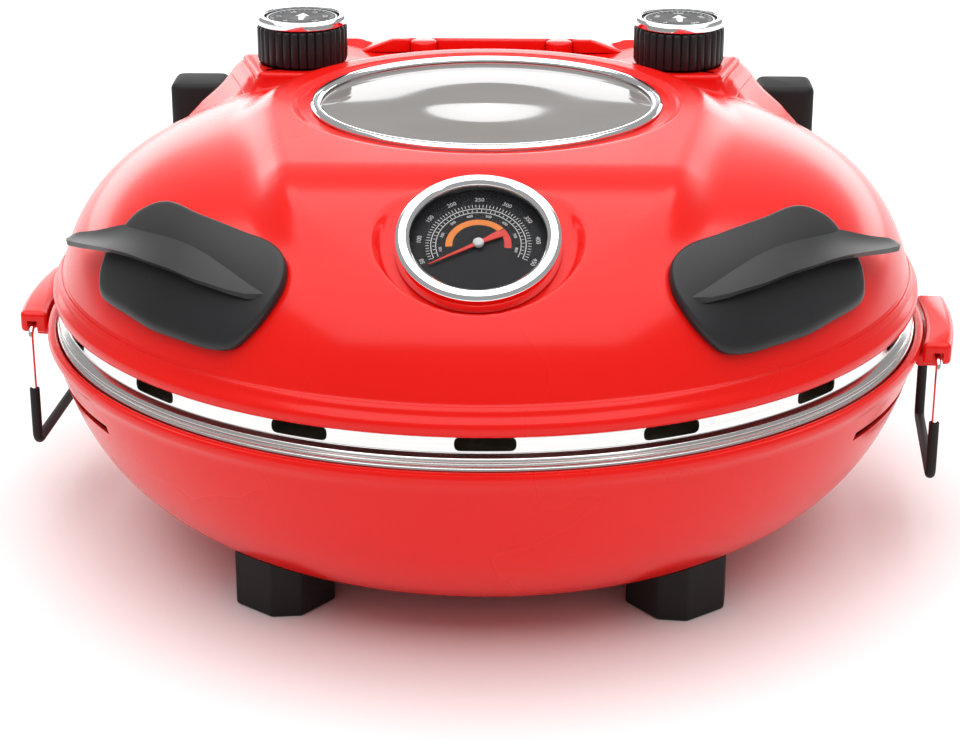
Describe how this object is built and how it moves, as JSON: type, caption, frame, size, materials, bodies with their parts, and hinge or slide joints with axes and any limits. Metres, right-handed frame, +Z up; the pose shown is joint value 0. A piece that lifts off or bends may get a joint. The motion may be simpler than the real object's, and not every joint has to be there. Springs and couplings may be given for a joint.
{
  "type": "countertop pizza oven",
  "caption": "Round countertop pizza oven: hinged domed lid with window, thermometer, knobs and handles over a bowl base with a baking stone and side bails.",
  "frame": {"origin": "on the surface it stands on, under the middle of the whole oven", "axes": "+Z up, the front with the thermometer faces -Y, the lid hinge is at +Y, +X to the right seen from the front"},
  "size_m": [0.3692, 0.3596, 0.1798],
  "materials": {
    "red_enamel": "glossy enamel on pressed steel",
    "stainless": "polished stainless steel",
    "chrome": "mirror bright plating",
    "sheet_steel": "aluminised sheet steel",
    "black_plastic": "satin moulded phenolic",
    "black_rubber": "matt",
    "stoneware": "unglazed cordierite stone",
    "mineral_wool": "matt felted wool",
    "glass": "clear tempered glass",
    "ceramic": "unglazed steatite",
    "dial_black": "printed dial",
    "needle_red": "satin paint",
    "silicone_grey": "matt silicone"
  },
  "bodies": {
    "base": {"base_shell": "red_enamel", "base_liner": "sheet_steel", "insulation_pad": "mineral_wool", "lower_heating_element": "sheet_steel", "terminal_block": "ceramic", "element_support_left": "sheet_steel", "element_support_right": "sheet_steel", "stone_tray": "sheet_steel", "baking_stone": "stoneware", "foot_front_left": "black_rubber", "foot_front_right": "black_rubber", "foot_rear_left": "black_rubber", "foot_rear_right": "black_rubber", "ear_left": "red_enamel", "ear_right": "red_enamel", "hinge_bracket": "sheet_steel", "hinge_pin": "stainless", "cord_gland": "black_rubber"},
    "lid": {"lid_shell": "red_enamel", "vent_ring": "stainless", "lid_liner": "sheet_steel", "upper_heating_element": "sheet_steel", "element_hanger_left": "sheet_steel", "element_hanger_right": "sheet_steel", "window_bezel": "chrome", "window_glass": "glass", "window_gasket": "silicone_grey", "window_frame": "sheet_steel", "gauge_case": "sheet_steel", "gauge_dial": "dial_black", "gauge_lens": "glass", "gauge_bezel": "chrome", "gauge_stem": "stainless", "gauge_nut": "stainless", "timer_unit": "sheet_steel", "thermostat_unit": "sheet_steel", "rear_cover": "red_enamel", "cover_cap_left": "red_enamel", "cover_cap_right": "red_enamel", "rear_bumper_left": "black_rubber", "rear_bumper_right": "black_rubber", "handle_left": "black_plastic", "handle_right": "black_plastic", "hinge_arm_left": "red_enamel", "hinge_arm_right": "red_enamel"},
    "timer_dial": {"timer_knob": "black_plastic", "timer_knob_ring": "chrome", "timer_shaft": "stainless"},
    "heat_dial": {"heat_knob": "black_plastic", "heat_knob_ring": "chrome", "heat_shaft": "stainless"},
    "pointer": {"gauge_needle": "needle_red"},
    "left_bail": {"bail_wire_left": "chrome", "bail_grip_left": "black_rubber"},
    "right_bail": {"bail_wire_right": "chrome", "bail_grip_right": "black_rubber"}
  },
  "joints": [
    {"name": "lid_hinge", "type": "hinge", "parent": "base", "child": "lid", "pos_m": [0, 0.17435, 0.09], "axis": [-1, 0, 0], "range_deg": [0, 100]},
    {"name": "timer_turn", "type": "hinge", "parent": "lid", "child": "timer_dial", "pos_m": [-0.08, 0.08935, 0.165], "axis": [0, 0, -1], "range_deg": [0, 300]},
    {"name": "heat_turn", "type": "hinge", "parent": "lid", "child": "heat_dial", "pos_m": [0.08, 0.08935, 0.165], "axis": [0, 0, -1], "range_deg": [0, 270]},
    {"name": "pointer_swing", "type": "hinge", "parent": "lid", "child": "pointer", "pos_m": [0, -0.1277, 0.14967], "axis": [0, 0.515, -0.8572], "range_deg": [0, 240], "stiffness_Nm_per_rad": 0.0005},
    {"name": "left_bail_swing", "type": "hinge", "parent": "base", "child": "left_bail", "pos_m": [-0.17677, 0.00325, 0.08], "axis": [0.0785, 0.9969, 0], "range_deg": [-10, 110]},
    {"name": "right_bail_swing", "type": "hinge", "parent": "base", "child": "right_bail", "pos_m": [0.17614, -0.02453, 0.08], "axis": [-0.0785, -0.9969, 0], "range_deg": [-10, 110]}
  ]
}
